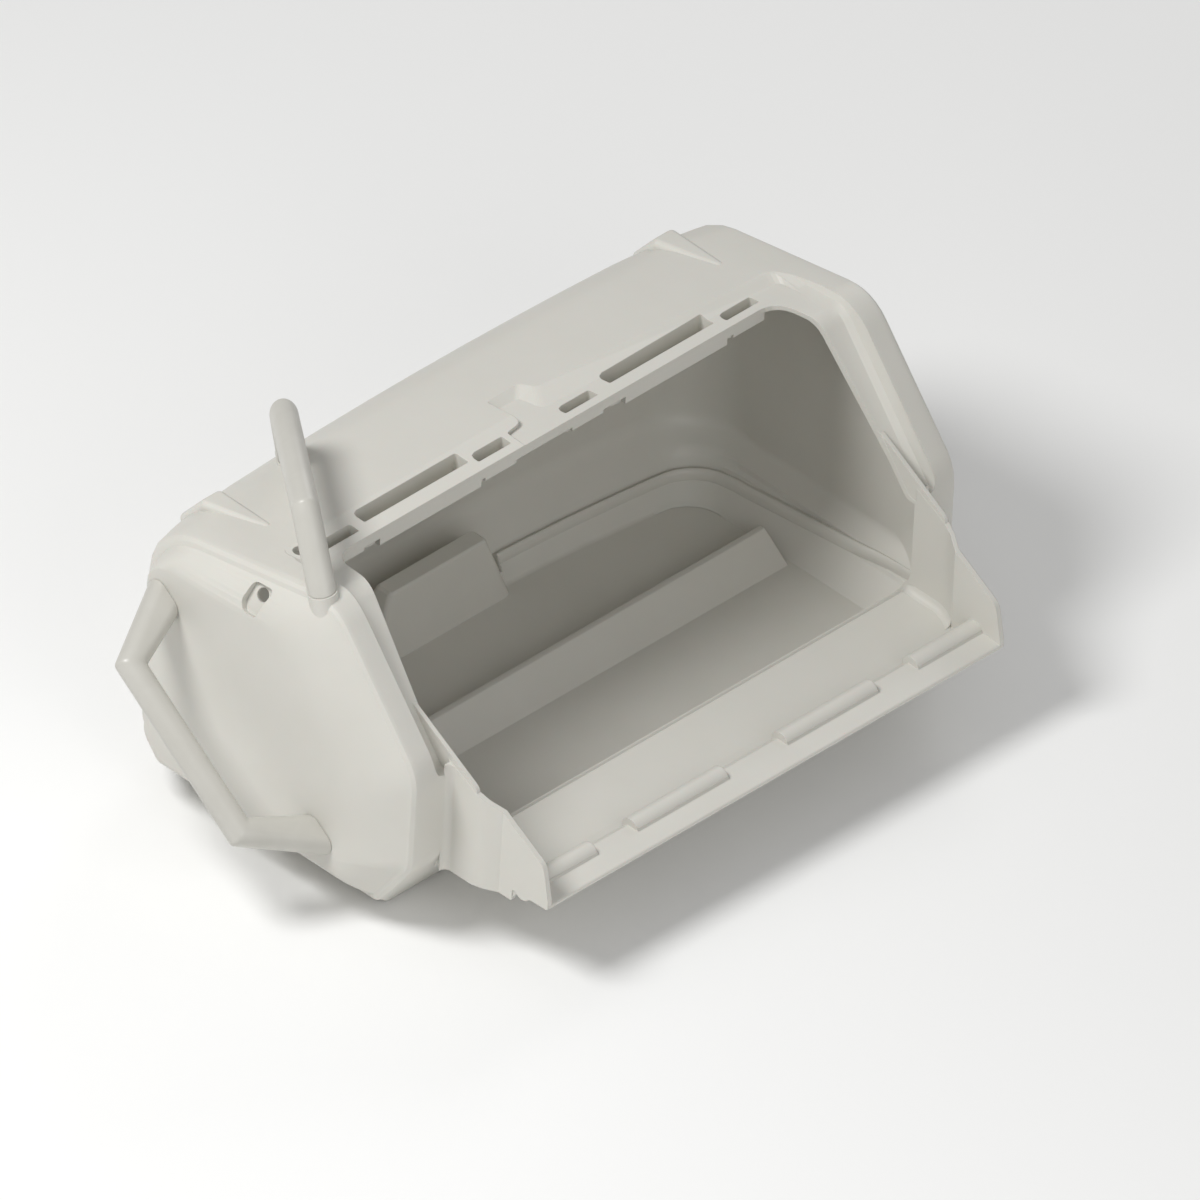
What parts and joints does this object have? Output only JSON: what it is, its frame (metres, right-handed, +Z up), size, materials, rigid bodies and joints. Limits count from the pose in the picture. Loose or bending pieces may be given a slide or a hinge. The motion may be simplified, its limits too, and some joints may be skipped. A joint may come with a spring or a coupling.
{
  "type": "grass catcher",
  "caption": "Moulded grass catcher for a walk-behind reel mower: open-fronted bucket with a lipped pan, a sunk border, a floor ridge and screwed-on bar handles",
  "frame": {"origin": "the middle of the flat underside strip behind the floor ridge, on the catcher's mid-plane", "axes": "+X runs along the reel to the catcher's right seen from the open front, +Y runs back from the lip to the rear wall, +Z is up from the flat base"},
  "size_m": [0.7877, 0.4785, 0.3845],
  "materials": {
    "shell": "off-white polyethylene, moulded, fine matte texture",
    "handle": "off-white nylon, moulded, satin",
    "screw": "zinc-plated steel",
    "washer": "zinc-plated steel"
  },
  "bodies": {
    "root": {"catcher_body": "shell", "end_handle": "handle", "roof_handle": "handle", "end_handle_screws": "screw", "roof_handle_screws": "screw", "end_handle_washers": "washer", "roof_handle_washers": "washer"}
  },
  "joints": []
}
